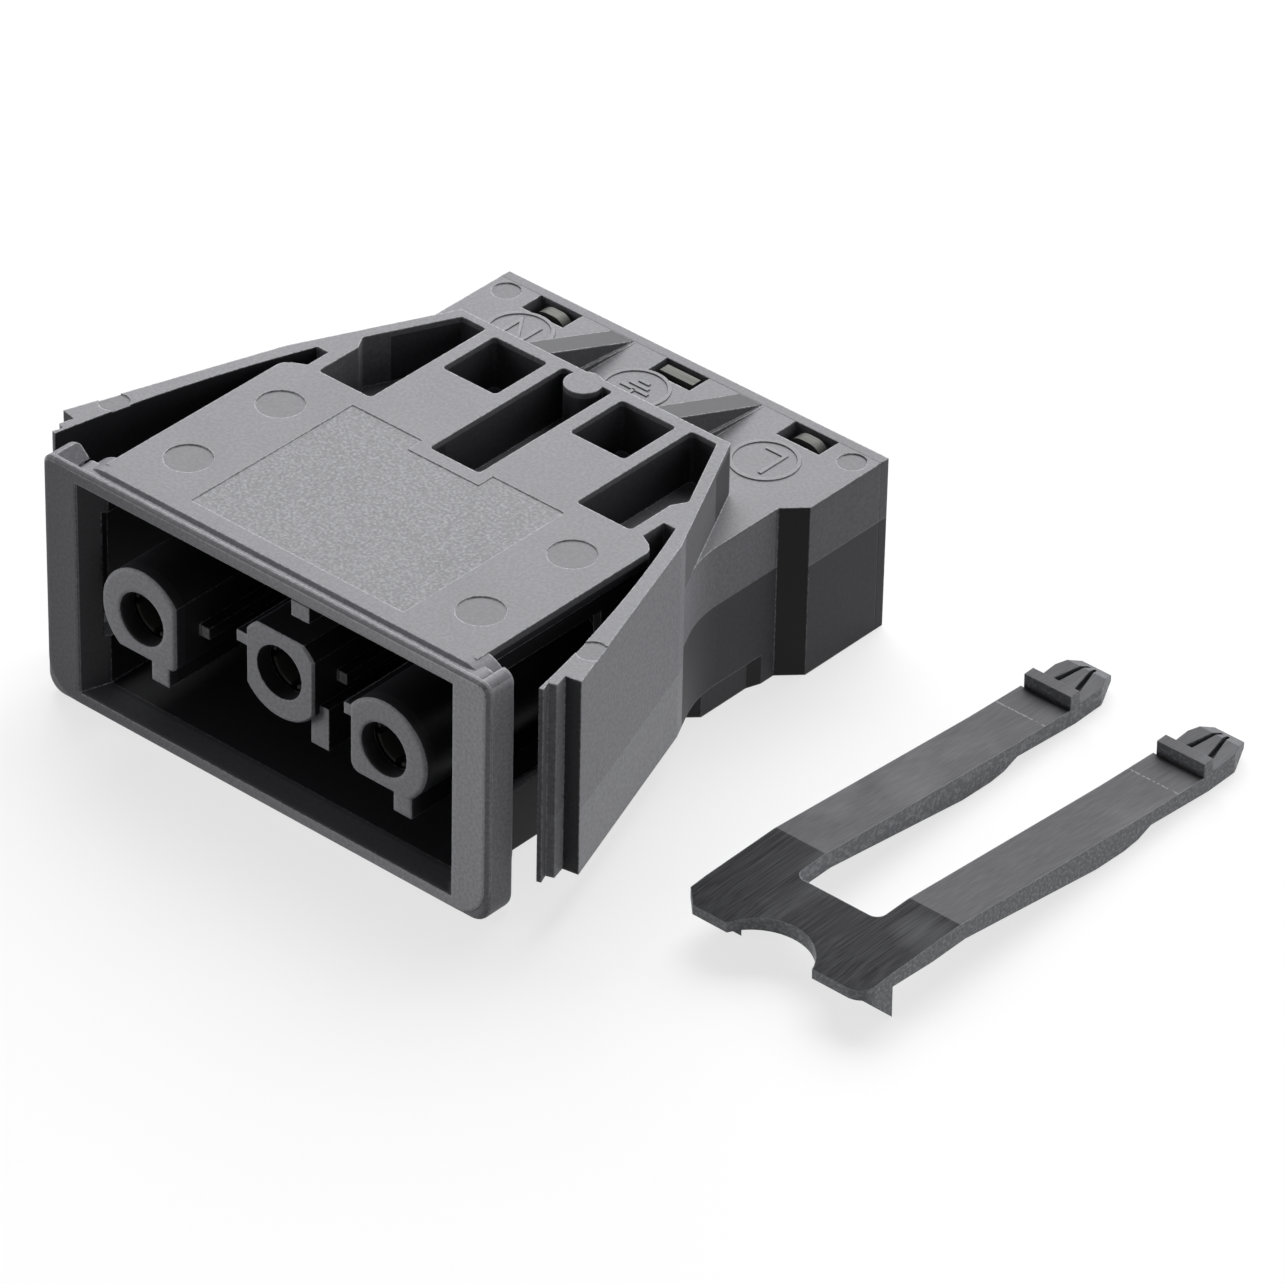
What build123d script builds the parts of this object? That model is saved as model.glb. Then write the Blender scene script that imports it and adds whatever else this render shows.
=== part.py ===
from build123d import *
import math
import os

# Socket coupler with three poles and two snap arms, in millimetres.
# X runs across the poles, Y runs from the mating face towards the wires, Z is up.
# The origin is the centre of the mating opening, on the front plane.

os.makedirs("parts", exist_ok=True)

# Poles, named from the left as seen on the mating side
pole_pitch = 10.0
outer_pole_z = 0.3
centre_pole_z = 0.35

# Front lip and the groove behind it
lip_half_width = 18.3
lip_half_height = 8.75
lip_thickness = 0.7
lip_edge_bevel = 0.25
lip_lower_corner = 2.6
lip_upper_corner = 0.8
groove_width = 0.75
groove_half_width = 16.9
groove_half_height = 7.85

# Panel collar, which the panel edge rests against from behind
collar_half_width = 17.25
collar_half_height = 8.1
collar_length = 2.0
collar_corner = 2.6
collar_edge_bevel = 0.35

# Mating opening and cavity
opening_half_width = 15.5
opening_half_height = 7.75
lead_in_depth = 1.5
cavity_half_width = 14.15
cavity_half_height = 7.1
cavity_depth = 15.8

# Shroud walls behind the collar
side_wall = 0.6
plate_overhang = 0.45
plate_thickness = 1.0
plate_rear_y = 18.3
plate_corner = 0.8
recess_run = 0.5

# Side channels that let the latches of the mating plug pass
channel_half_width = 16.2
channel_front_y = 1.2
channel_rear_y = 14.0
channel_low_z = -3.6
channel_high_z = 5.5

# Snap arms
arm_tip_x = 21.24
arm_tip_y = 4.9
arm_ledges = (1.11, 0.53, 0.3)
arm_risers = (1.01, 0.68)
arm_ledge_rise = 0.2
arm_riser_lean = 0.27
arm_root_x = 16.25
arm_root_y = 19.5
arm_gap_past_root = 1.2
arm_bow = 0.45
arm_low_z = -5.95

# Shallow frosted panel in the plate, which steps forward round the centre pocket
panel_half_width = 8.7
panel_front_y = 3.1
panel_rear_y = 17.4
panel_step_half_width = 2.9
panel_step_y = 16.1
panel_depth = 0.06

# Shallow round ejector marks on the top: distance from the middle plane, depth, radius
plate_marks = ((12.0, 6.3, 1.55), (12.0, 14.45, 1.55))
arm_marks = ((19.6, 7.7, 1.0),)
block_marks = ((14.35, 37.75, 0.95),)
mark_depth = 0.08

# Pocketed middle with its slanting flanks
middle_rear_y = 29.95
middle_rear_half_width = 11.1
neck_half_width = 13.8
flank_wall = 0.8
rear_wall = 0.6

# Pockets in the top of the middle
centre_pocket_half_width = 2.05
centre_pocket_front_y = 17.1
inner_pocket_from_x = 3.05
inner_pocket_to_x = 7.5
inner_pocket_front_y = 24.2
inner_pocket_end_wall = 0.9
outer_pocket_from_x = 8.45
outer_pocket_to_x = 12.85
outer_pocket_front_y = 18.75
outer_pocket_jog_y = 22.4
outer_pocket_jog_length = 1.0
pocket_corner = 0.3
post_radius = 1.25
post_setback = 1.05

# Terminal block
block_top_z = 4.4
block_bottom_z = -8.1
block_neck_half_width = 14.35
block_half_width = 15.75
block_step_y = 30.8
block_length = 39.6
flank_fillet = 8.0
sole_half_width = 14.0
sole_front_y = 23.0
sole_front_half_width = 12.6
sole_taper_from_y = 28.6
sole_taper_to_y = 29.6

# Gussets behind the middle, one beside each outer pocket's inner wall
left_gusset_centre_x = -5.45
right_gusset_centre_x = 5.2
gusset_width = 1.85
gusset_peak_z = 7.75
gusset_foot_width = 0.2
gusset_foot_height = 0.75

# Terminal chambers inside the block
chamber_half_width = 4.3
chamber_neck_half_width = 3.4
chamber_front_y = 23.5
chamber_step_y = 32.0
chamber_floor = 1.2
chamber_roof = 1.2

# Windows in the top of the block
window_length = 1.9
window_half_width = 1.75
outer_window_x = 10.6

# Rear cover
cover_thickness = 0.75
cover_guide_depth = 2.5
cover_guide_top_z = -1.7
cover_rim_wall = 0.8
cover_rim_clearance = 0.1
wire_entry_radius = 1.8
wire_entry_spread = 2.05
wire_entry_z = -4.0
wire_entry_bevel = 0.2
driver_slot_width = 2.8
driver_slot_height = 1.7
driver_slot_z = 0.9

# Socket sleeves
sleeve_radius = 3.4
sleeve_flat = 2.8
left_sleeve_corner = 0.6
right_sleeve_corner = 0.85
sleeve_rim_bevel = 0.15
centre_sleeve_setback = 1.55
sleeve_mouth_radius = 1.85
sleeve_mouth_length = 1.2
sleeve_bore_radius = 2.3

# Coding ribs in the cavity
foot_rib_width = 1.45
foot_rib_height = 1.35
foot_rib_offset = 1.4
centre_rib_setback = 0.6
top_rib_offset = 1.2
side_rib_size = 0.8
# One line for each small side rib: pole, side of its sleeve, height, front depth
side_ribs = (
    (0, 1, -0.2, 2.15),
    (1, -1, 1.4, 1.65),
    (1, 1, 0.45, 3.65),
    (2, -1, 1.5, 0.4),
)

# How far a rib or a sleeve reaches into the wall that it stands on
root_overlap = 0.5

# Socket contact with its open over-spring
contact_bore_radius = 1.5
contact_wall = 0.35
contact_length = 12.5
contact_slit_width = 0.5
contact_slit_length = 8.5
contact_collar_length = 2.0
contact_collar_clearance = 0.05
contact_tail_radius = 1.2
contact_rivet_radius = 0.8
contact_setback = 0.1
over_spring_wall = 0.3
over_spring_length = 6.0
over_spring_from_front = 0.9
over_spring_slit_width = 0.8

# Terminal frame, one bent strip with a tongue up into its window
strip_thickness = 0.8
strip_side_clearance = 0.3
frame_end_gap = 0.6
tongue_half_width = 1.35
tongue_below_top = 0.15
tongue_setback = 0.35

# Clamp springs, two beside each other in each frame
spring_thickness = 0.4
spring_width = 2.8
spring_bend_radius = 1.3
spring_fixed_leg = 7.0
spring_end_gap = 0.6
spring_leg_run = 6.6

# Locking fork, lying beside the coupler on the same surface
fork_centre_x = 34.6
fork_front_y = 6.85
fork_half_width = 7.2
fork_slot_half_width = 3.25
fork_length = 37.0
fork_base_length = 6.1
fork_notch_half_width = 3.3
fork_notch_depth = 2.3
fork_corner = 1.2
fork_slot_corner = 0.7
# Side view of the fork: distance from its front, height above the surface
fork_crown_top = ((0.0, 3.12), (2.6, 3.27), (8.8, 3.3))
fork_prong_top = ((24.5, 1.85), (27.05, 1.62), (32.7, 1.25))
fork_head_side = ((36.0, 1.45), (37.0, 1.02), (37.0, 0.6), (35.5, 0.05))
fork_prong_under = ((32.7, 0.02), (27.05, 0.58), (25.8, 0.15), (24.5, 0.03), (21.8, 0.15))
fork_crown_under = ((9.4, 2.0), (6.4, 2.0), (0.0, 2.45))
fork_catch_from_front = 32.15
fork_catch_width = 0.85
fork_catch_low_z = 0.8
fork_catch_high_z = 2.3
# The catch and the head behind it start this far inside the left side of the prong
fork_head_inset = 0.25
fork_cheek_from_front = 35.2
fork_tip_half_width = 1.15
# Two grooves in the top of each head, which meet at the tip
fork_groove_from_front = 34.0
fork_groove_to_front = 36.6
fork_groove_spread = 0.85
fork_groove_tip_spread = 0.25
fork_groove_width = 0.45
fork_groove_depth = 0.45
# Small wedges under the front corners of the fork
fork_barb_side = ((0.2, 2.6), (2.75, 2.6), (2.75, 0.02))
fork_barb_width = 1.4
fork_barb_insets = (1.3, 0.0)

# Places worked out from the sizes above
panel_face_y = lip_thickness + groove_width + collar_length
shroud_half_width = cavity_half_width + side_wall
plate_half_width = shroud_half_width + plate_overhang
housing_rear_y = block_length - cover_thickness
arm_gap_end_y = arm_root_y + arm_gap_past_root
flank_slope = (arm_root_x - middle_rear_half_width) / (middle_rear_y - arm_root_y)
top_z = collar_half_height
rest_tilt = math.atan2(lip_half_height + block_bottom_z, block_length)


def across(y):
    """Drawing plane across the coupler at depth y, seen from the mating side."""
    return Plane(origin=(0, y, 0), x_dir=(1, 0, 0), z_dir=(0, -1, 0))


def run_back(y, length, outline):
    """Solid that starts at depth y and runs back towards the wires."""
    return extrude(across(y) * outline, amount=-length)


def stand(z_low, z_high, outline):
    """Solid between two heights above an outline drawn in plan."""
    return extrude(Plane.XY.offset(z_low) * outline, amount=z_high - z_low)


def slab(x_range, y_range, z_range):
    """Block between the given limits on each axis."""
    size = [high - low for low, high in (x_range, y_range, z_range)]
    low_corner = (x_range[0], y_range[0], z_range[0])
    return Pos(*low_corner) * Box(*size, align=(Align.MIN, Align.MIN, Align.MIN))


def side_profile(x_low, x_high, points):
    """Prism across X from an outline of depth and height points."""
    face = make_face(Polyline(*[(0, y, z) for y, z in points], close=True))
    return Pos(x_low, 0, 0) * extrude(face, amount=x_high - x_low, dir=(1, 0, 0))


def both_sides(solid):
    """The solid together with its mirror image across the middle plane."""
    return solid + mirror(solid, about=Plane.YZ)


def frame_outline(half_width, half_height, lower_corner, upper_corner):
    """Rectangle with its two lower and its two upper corners rounded."""
    outline = Rectangle(2 * half_width, 2 * half_height)
    outline = fillet(outline.vertices().sort_by(Axis.Y)[:2], lower_corner)
    return fillet(outline.vertices().sort_by(Axis.Y)[-2:], upper_corner)


def flank_x(y):
    """Half width over the slanting flanks at depth y."""
    return arm_root_x - (y - arm_root_y) * flank_slope


def pole_place(index):
    """Centre and face depth of a pole: 0 left, 1 centre, 2 right."""
    if index == 1:
        return 0.0, centre_pole_z, centre_sleeve_setback
    return (index - 1) * pole_pitch, outer_pole_z, 0.0


def arm_outline():
    """Plan of the right snap arm from its toothed tip to the flank it grows from."""
    x, y = arm_tip_x, arm_tip_y
    points = [(x, y)]
    for ledge, riser in zip(arm_ledges, arm_risers):
        x, y = x - ledge, y - arm_ledge_rise
        points.append((x, y))
        x, y = x + arm_riser_lean, y - riser
        points.append((x, y))
    points.append((x - arm_ledges[-1], y - arm_ledge_rise / 2))
    inner_tip = points[-1]
    inner_root = (shroud_half_width, arm_gap_end_y)
    chord = math.hypot(inner_tip[0] - inner_root[0], inner_tip[1] - inner_root[1])
    bow_x = arm_bow * (inner_root[1] - inner_tip[1]) / chord
    bow_y = arm_bow * (inner_tip[0] - inner_root[0]) / chord
    middle_x = (inner_tip[0] + inner_root[0]) / 2 + bow_x
    middle_y = (inner_tip[1] + inner_root[1]) / 2 + bow_y
    middle = (middle_x, middle_y)
    outer_root = (flank_x(arm_gap_end_y), arm_gap_end_y)
    edge = Polyline(inner_root, outer_root, (arm_root_x, arm_root_y), *points)
    return make_face(edge + ThreePointArc(inner_tip, middle, inner_root))


def middle_outline():
    """Plan of the pocketed middle above the block, right half."""
    return make_face(
        Polyline(
            (0, cavity_depth),
            (shroud_half_width, cavity_depth),
            (shroud_half_width, plate_rear_y),
            (neck_half_width, plate_rear_y + recess_run),
            (neck_half_width, arm_gap_end_y),
            (flank_x(arm_gap_end_y), arm_gap_end_y),
            (middle_rear_half_width, middle_rear_y),
            (0, middle_rear_y),
            close=True,
        )
    )


def block_outline():
    """Plan of the block below the pockets, right half, with its flared flank."""
    step = block_half_width - block_neck_half_width
    flare_y = arm_root_y + (arm_root_x - block_neck_half_width) / flank_slope
    outline = make_face(
        Polyline(
            (0, cavity_depth),
            (shroud_half_width, cavity_depth),
            (shroud_half_width, plate_rear_y),
            (neck_half_width, plate_rear_y + recess_run),
            (neck_half_width, arm_gap_end_y),
            (flank_x(arm_gap_end_y), arm_gap_end_y),
            (block_neck_half_width, flare_y),
            (block_neck_half_width, block_step_y),
            (block_half_width, block_step_y + step),
            (block_half_width, housing_rear_y),
            (0, housing_rear_y),
            close=True,
        )
    )
    flare = outline.vertices().sort_by_distance((block_neck_half_width, flare_y))[0]
    return fillet(flare, flank_fillet)


def sole_outline():
    """Plan of the slab under the block, right half."""
    step = block_half_width - block_neck_half_width
    corner = sole_half_width - sole_front_half_width
    return make_face(
        Polyline(
            (0, cavity_depth),
            (sole_front_half_width, cavity_depth),
            (sole_front_half_width, sole_front_y),
            (sole_half_width, sole_front_y + corner),
            (sole_half_width, sole_taper_from_y),
            (block_neck_half_width, sole_taper_to_y),
            (block_neck_half_width, block_step_y),
            (block_half_width, block_step_y + step),
            (block_half_width, housing_rear_y),
            (0, housing_rear_y),
            close=True,
        )
    )


def front_frame():
    """Lip, groove and panel collar as one ring, still closed in front."""
    lip = run_back(
        0,
        lip_thickness,
        frame_outline(lip_half_width, lip_half_height, lip_lower_corner, lip_upper_corner),
    )
    lip = chamfer(lip.edges().filter_by(Axis.Y, reverse=True), lip_edge_bevel)
    groove = run_back(
        lip_thickness / 2,
        lip_thickness / 2 + groove_width + collar_length / 2,
        frame_outline(groove_half_width, groove_half_height, collar_corner, lip_upper_corner),
    )
    collar = run_back(
        lip_thickness + groove_width,
        collar_length,
        frame_outline(collar_half_width, collar_half_height, collar_corner, collar_corner),
    )
    front_edges = collar.edges().filter_by(Axis.Y, reverse=True).group_by(Axis.Y)[0]
    return lip + groove + chamfer(front_edges, collar_edge_bevel)


def mating_space():
    """Everything that is hollow inside the mating opening."""
    mouth = Rectangle(2 * opening_half_width, 2 * opening_half_height)
    throat = Rectangle(2 * cavity_half_width, 2 * cavity_half_height)
    lead_in = loft([across(0) * mouth, across(lead_in_depth) * throat])
    cavity = run_back(lead_in_depth, cavity_depth - lead_in_depth, throat)
    channel = slab(
        (-channel_half_width, channel_half_width),
        (channel_front_y, channel_rear_y),
        (channel_low_z, channel_high_z),
    )
    return lead_in + cavity + channel


def shroud():
    """Walls round the cavity, with the wider plate on top."""
    walls = run_back(
        panel_face_y - collar_length / 2,
        plate_rear_y - panel_face_y + collar_length / 2,
        Rectangle(2 * shroud_half_width, 2 * collar_half_height),
    )
    plate = slab(
        (-plate_half_width, plate_half_width),
        (panel_face_y - collar_length / 2, plate_rear_y),
        (top_z - plate_thickness, top_z),
    )
    rear_corners = plate.edges().filter_by(Axis.Z).group_by(Axis.Y)[-1]
    return walls + fillet(rear_corners, plate_corner)


def pocket_plan(x_range, y_range):
    """Plan of a rectangular pocket between the given limits."""
    centre = Pos(sum(x_range) / 2, sum(y_range) / 2)
    return centre * RectangleRounded(x_range[1] - x_range[0], y_range[1] - y_range[0], pocket_corner)


def pockets():
    """Five pockets between the ribs of the middle."""
    depth = (block_top_z, top_z + 1)
    inner_end_y = middle_rear_y - inner_pocket_end_wall
    outer_end_y = middle_rear_y - rear_wall
    centre = pocket_plan(
        (-centre_pocket_half_width, centre_pocket_half_width), (centre_pocket_front_y, outer_end_y)
    )
    inner = pocket_plan((inner_pocket_from_x, inner_pocket_to_x), (inner_pocket_front_y, inner_end_y))
    wall_x = flank_wall * math.hypot(1, flank_slope)
    jog_y = outer_pocket_jog_y + outer_pocket_jog_length
    outer = make_face(
        Polyline(
            (outer_pocket_from_x, outer_pocket_front_y),
            (outer_pocket_to_x, outer_pocket_front_y),
            (outer_pocket_to_x, outer_pocket_jog_y),
            (flank_x(jog_y) - wall_x, jog_y),
            (flank_x(outer_end_y) - wall_x, outer_end_y),
            (outer_pocket_from_x, outer_end_y),
            close=True,
        )
    )
    outer = fillet(outer.vertices(), pocket_corner)
    return stand(*depth, centre) + both_sides(stand(*depth, inner) + stand(*depth, outer))


def label_panel():
    """Shallow recess of the frosted panel in the plate."""
    width = 2 * panel_half_width
    length = panel_rear_y - panel_front_y
    outline = Pos(0, panel_front_y + length / 2) * Rectangle(width, length)
    step_length = panel_rear_y - panel_step_y
    step = Pos(0, panel_step_y + step_length / 2) * Rectangle(2 * panel_step_half_width, step_length)
    return stand(top_z - panel_depth, top_z + 1, outline - step)


def ejector_marks():
    """Shallow round marks that the mould leaves on the top faces."""
    cuts = []
    for marks, face_z in ((plate_marks, top_z), (arm_marks, top_z), (block_marks, block_top_z)):
        for x, y, radius in marks:
            disc = stand(face_z - mark_depth, face_z + mark_depth, Pos(x, y) * Circle(radius))
            cuts += [disc, mirror(disc, about=Plane.YZ)]
    return cuts


def gusset(centre_x):
    """Sloping rib from the middle's rear wall down to the rear edge of the block."""
    start_y = middle_rear_y - rear_wall / 2
    low_z = block_top_z - chamber_roof / 2
    half = gusset_width / 2
    rear_edge = [(housing_rear_y, block_top_z), (housing_rear_y, low_z)]
    rib_side = [(start_y, low_z), (start_y, gusset_peak_z), *rear_edge]
    foot_side = [(start_y, low_z), (start_y, block_top_z + gusset_foot_height), *rear_edge]
    rib = side_profile(centre_x - half, centre_x + half, rib_side)
    return rib + side_profile(centre_x, centre_x + half + gusset_foot_width, foot_side)


def sleeve_outline(index):
    """Face of a socket sleeve about its pole, round where it has no coding flat."""
    round_part = Circle(sleeve_radius)
    wide = 2 * sleeve_radius
    if index == 1:
        keep = Pos(0, sleeve_flat - wide) * Rectangle(2 * sleeve_flat, 2 * wide)
        return round_part & keep
    toward_centre = 1 if index == 0 else -1
    keep = Pos(toward_centre * (sleeve_flat - wide), wide - sleeve_flat) * Rectangle(2 * wide, 2 * wide)
    corner = Pos(toward_centre * sleeve_flat / 2, -sleeve_flat / 2) * Rectangle(sleeve_flat, sleeve_flat)
    outer = corner.vertices().sort_by_distance((toward_centre * sleeve_flat, -sleeve_flat))[0]
    room = sleeve_flat - math.sqrt(sleeve_radius**2 - sleeve_flat**2)
    radius = left_sleeve_corner if index == 0 else right_sleeve_corner
    return (round_part & keep) + fillet(outer, min(radius, 0.95 * room))


def sleeve(index):
    """Socket sleeve that stands forward from the back of the cavity."""
    x, z, face_y = pole_place(index)
    body = run_back(face_y, cavity_depth + root_overlap - face_y, Pos(x, z) * sleeve_outline(index))
    return chamfer(body.edges().group_by(Axis.Y)[0], sleeve_rim_bevel)


def cavity_rib(x_range, front_y, z_range):
    """Rib along the cavity that runs back into its rear wall."""
    return slab(x_range, (front_y, cavity_depth + root_overlap), z_range)


def coding_ribs():
    """Ribs that keep a plug of another coding out of the cavity."""
    half = foot_rib_width / 2
    ribs = []
    for index in (0, 2):
        x, z, face_y = pole_place(index)
        middle_x = x + foot_rib_offset
        under = z - sleeve_flat
        heights = (under - foot_rib_height, under + root_overlap)
        ribs.append(cavity_rib((middle_x - half, middle_x + half), face_y + sleeve_rim_bevel, heights))
    front_y = centre_sleeve_setback + centre_rib_setback
    low_heights = (-sleeve_radius - foot_rib_height / 2, centre_pole_z - sleeve_flat / 2)
    top_heights = (centre_pole_z + sleeve_flat + foot_rib_height, cavity_half_height + root_overlap)
    ribs.append(cavity_rib((sleeve_flat - half, sleeve_flat + half), front_y, low_heights))
    ribs.append(cavity_rib((top_rib_offset - half, top_rib_offset + half), front_y, top_heights))
    for index, side, centre_z, rib_front_y in side_ribs:
        face_x = pole_place(index)[0] + side * sleeve_flat
        limits = sorted((face_x - side * root_overlap, face_x + side * side_rib_size))
        heights = (centre_z - side_rib_size / 2, centre_z + side_rib_size / 2)
        ribs.append(cavity_rib(limits, rib_front_y, heights))
    return ribs


def sleeve_bore(index):
    """Hollow for a contact: a narrow mouth, then the bore through to the chamber."""
    x, z, face_y = pole_place(index)
    mouth = run_back(face_y - 1, sleeve_mouth_length + 1.5, Pos(x, z) * Circle(sleeve_mouth_radius))
    bore = run_back(
        face_y + sleeve_mouth_length,
        chamber_front_y + root_overlap - face_y - sleeve_mouth_length,
        Pos(x, z) * Circle(sleeve_bore_radius),
    )
    return mouth + bore


def chamber(index):
    """Terminal chamber of a pole, open at the rear."""
    x = (index - 1) * pole_pitch
    heights = (block_bottom_z + chamber_floor, block_top_z - chamber_roof)
    narrow = slab(
        (x - chamber_neck_half_width, x + chamber_neck_half_width),
        (chamber_front_y, housing_rear_y),
        heights,
    )
    wide = slab((x - chamber_half_width, x + chamber_half_width), (chamber_step_y, housing_rear_y), heights)
    return narrow + wide


def window(index):
    """Inspection window above a terminal tongue."""
    x = (index - 1) * outer_window_x
    return slab(
        (x - window_half_width, x + window_half_width),
        (housing_rear_y - window_length, housing_rear_y),
        (block_top_z - chamber_roof - 0.5, block_top_z + 1),
    )


def make_housing():
    """The one large moulding."""
    body = front_frame() + shroud()
    body += both_sides(stand(arm_low_z, top_z, arm_outline()))
    body += both_sides(stand(block_top_z, top_z, middle_outline()))
    body += both_sides(stand(arm_low_z, block_top_z, block_outline()))
    body += both_sides(stand(block_bottom_z, arm_low_z, sole_outline()))
    body -= mating_space()
    body -= pockets()
    for cut in (label_panel(), *ejector_marks()):
        body -= cut
    post_y = middle_rear_y - post_setback
    body += stand(block_top_z - root_overlap, top_z, Pos(0, post_y) * Circle(post_radius))
    body += gusset(left_gusset_centre_x)
    body += gusset(right_gusset_centre_x)
    for index in range(3):
        body += sleeve(index)
    for rib in coding_ribs():
        body += rib
    for index in range(3):
        body -= sleeve_bore(index)
        body -= chamber(index)
        body -= window(index)
    return body


def make_rear_cover():
    """Plate that closes the chambers, with two wire entries and two driver slots for each pole."""
    low_z, high_z = block_bottom_z, block_top_z
    plate = slab((-block_half_width, block_half_width), (housing_rear_y, block_length), (low_z, high_z))
    gap = cover_rim_clearance
    for index in range(3):
        x = (index - 1) * pole_pitch
        outer_x = chamber_half_width - gap
        floor_z = low_z + chamber_floor + gap
        roof_z = high_z - chamber_roof - gap
        rim_y = housing_rear_y - cover_guide_depth
        rim = slab((x - outer_x, x + outer_x), (rim_y, housing_rear_y), (floor_z, roof_z))
        rim -= slab(
            (x - outer_x + cover_rim_wall, x + outer_x - cover_rim_wall),
            (rim_y - 1, housing_rear_y),
            (cover_guide_top_z, roof_z + 1),
        )
        plate += rim
    for index in range(3):
        for side in (-1, 1):
            x = (index - 1) * pole_pitch + side * wire_entry_spread
            place = Pos(x, wire_entry_z)
            entry = run_back(
                housing_rear_y - cover_guide_depth - 1,
                cover_guide_depth + cover_thickness + 2,
                place * Circle(wire_entry_radius),
            )
            funnel = Pos(x, block_length, wire_entry_z) * Rot(-90, 0, 0) * Cone(
                wire_entry_radius,
                wire_entry_radius + 2 * wire_entry_bevel,
                2 * wire_entry_bevel,
            )
            slot = run_back(
                housing_rear_y - 0.5,
                cover_thickness + 1,
                Pos(x, driver_slot_z) * Rectangle(driver_slot_width, driver_slot_height),
            )
            plate -= entry
            plate -= funnel
            plate -= slot
    return plate


def make_contact(index):
    """Slit socket contact with a seating collar and a riveted tail."""
    x, z, face_y = pole_place(index)
    front_y = face_y + sleeve_mouth_length + contact_setback
    outer = contact_bore_radius + contact_wall
    frame_y = chamber_front_y + frame_end_gap
    tube = run_back(front_y, contact_length, Pos(x, z) * Circle(outer))
    tube = chamfer(tube.edges().group_by(Axis.Y)[0], contact_wall / 3)
    collar = run_back(
        front_y + contact_length - contact_collar_length,
        contact_collar_length,
        Pos(x, z) * Circle(sleeve_bore_radius - contact_collar_clearance),
    )
    tail_y = front_y + contact_length
    tail = run_back(tail_y, frame_y - tail_y, Pos(x, z) * Circle(contact_tail_radius))
    rivet = run_back(frame_y, strip_thickness, Pos(x, z) * Circle(contact_rivet_radius))
    contact = tube + collar + tail + rivet
    bore_length = contact_length - contact_collar_length / 2
    contact -= run_back(front_y - 1, bore_length + 1, Pos(x, z) * Circle(contact_bore_radius))
    for across_slit in (Rectangle(contact_slit_width, 4 * outer), Rectangle(4 * outer, contact_slit_width)):
        contact -= run_back(front_y - 1, contact_slit_length + 1, Pos(x, z) * across_slit)
    return contact


def make_over_spring(index):
    """Open steel sleeve that presses the slit tube of a contact together."""
    x, z, face_y = pole_place(index)
    start_y = face_y + sleeve_mouth_length + contact_setback + over_spring_from_front
    inner = contact_bore_radius + contact_wall
    ring = Circle(inner + over_spring_wall) - Circle(inner)
    slit = Pos(0, -inner) * Rectangle(over_spring_slit_width, 2 * inner)
    return run_back(start_y, over_spring_length, Pos(x, z) * (ring - slit))


def frame_half_width():
    """Half width of the terminal strip in the narrow part of its chamber."""
    return chamber_neck_half_width - strip_side_clearance


def make_terminal_frame(index):
    """Strip bent round the clamping places, with its tongue up into the window."""
    x = (index - 1) * pole_pitch
    pole_x, pole_z, face_y = pole_place(index)
    half = frame_half_width()
    front_y = chamber_front_y + frame_end_gap
    floor_z = block_bottom_z + chamber_floor
    roof_z = block_top_z - chamber_roof
    inner_y = housing_rear_y - cover_guide_depth - cover_rim_clearance
    tongue_y = housing_rear_y - tongue_setback - strip_thickness
    width = (x - half, x + half)
    base = slab(width, (front_y, inner_y), (floor_z, floor_z + strip_thickness))
    back = slab(width, (front_y, front_y + strip_thickness), (floor_z, roof_z))
    top = slab(width, (front_y, tongue_y + strip_thickness), (roof_z - strip_thickness, roof_z))
    window_x = (index - 1) * outer_window_x
    tongue_top = block_top_z - tongue_below_top
    tongue = slab(
        (window_x - tongue_half_width, window_x + tongue_half_width),
        (tongue_y, tongue_y + strip_thickness),
        (roof_z - strip_thickness, tongue_top),
    )
    if index != 1:
        tongue = fillet(tongue.edges().filter_by(Axis.Y).group_by(Axis.Z)[-1], tongue_top - roof_z)
    hole = run_back(front_y - 1, strip_thickness + 2, Pos(pole_x, pole_z) * Circle(contact_rivet_radius))
    return base + back + top + tongue - hole


def make_clamp_spring(index, side):
    """Leaf spring bent back on itself, which presses a wire on the base of its frame."""
    x = (index - 1) * pole_pitch + side * frame_half_width() / 2
    roof_z = block_top_z - chamber_roof - strip_thickness
    floor_z = block_bottom_z + chamber_floor + strip_thickness
    bend_y = housing_rear_y - cover_guide_depth - spring_end_gap - spring_bend_radius
    bend_z = roof_z - spring_bend_radius
    run = spring_leg_run
    drop = bend_z - floor_z
    reach = math.hypot(run, drop)
    turn = math.atan2(drop, run) - math.asin(spring_bend_radius / reach)
    leave = (bend_y + spring_bend_radius * math.sin(turn), bend_z - spring_bend_radius * math.cos(turn))
    start = (bend_y - spring_fixed_leg, roof_z)
    top_of_bend = (bend_y, roof_z)
    side_of_bend = (bend_y + spring_bend_radius, bend_z)
    tip = (bend_y - run, floor_z)
    inner = spring_bend_radius - spring_thickness
    inner_leave = (bend_y + inner * math.sin(turn), bend_z - inner * math.cos(turn))
    along = ((tip[0] - leave[0]), (tip[1] - leave[1]))
    length = math.hypot(*along)
    lift = (-along[1] / length * spring_thickness, along[0] / length * spring_thickness)
    inner_tip = (tip[0] - lift[0], tip[1] - lift[1])
    outline = Polyline(start, top_of_bend)
    outline += ThreePointArc(top_of_bend, side_of_bend, leave)
    outline += Polyline(leave, tip, inner_tip, inner_leave)
    outline += ThreePointArc(inner_leave, (bend_y + inner, bend_z), (bend_y, bend_z + inner))
    outline += Polyline((bend_y, bend_z + inner), (start[0], bend_z + inner), start)
    side_plane = Plane(origin=(x - spring_width / 2, 0, 0), x_dir=(0, 1, 0), z_dir=(1, 0, 0))
    return extrude(side_plane * make_face(outline), amount=spring_width)


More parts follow.
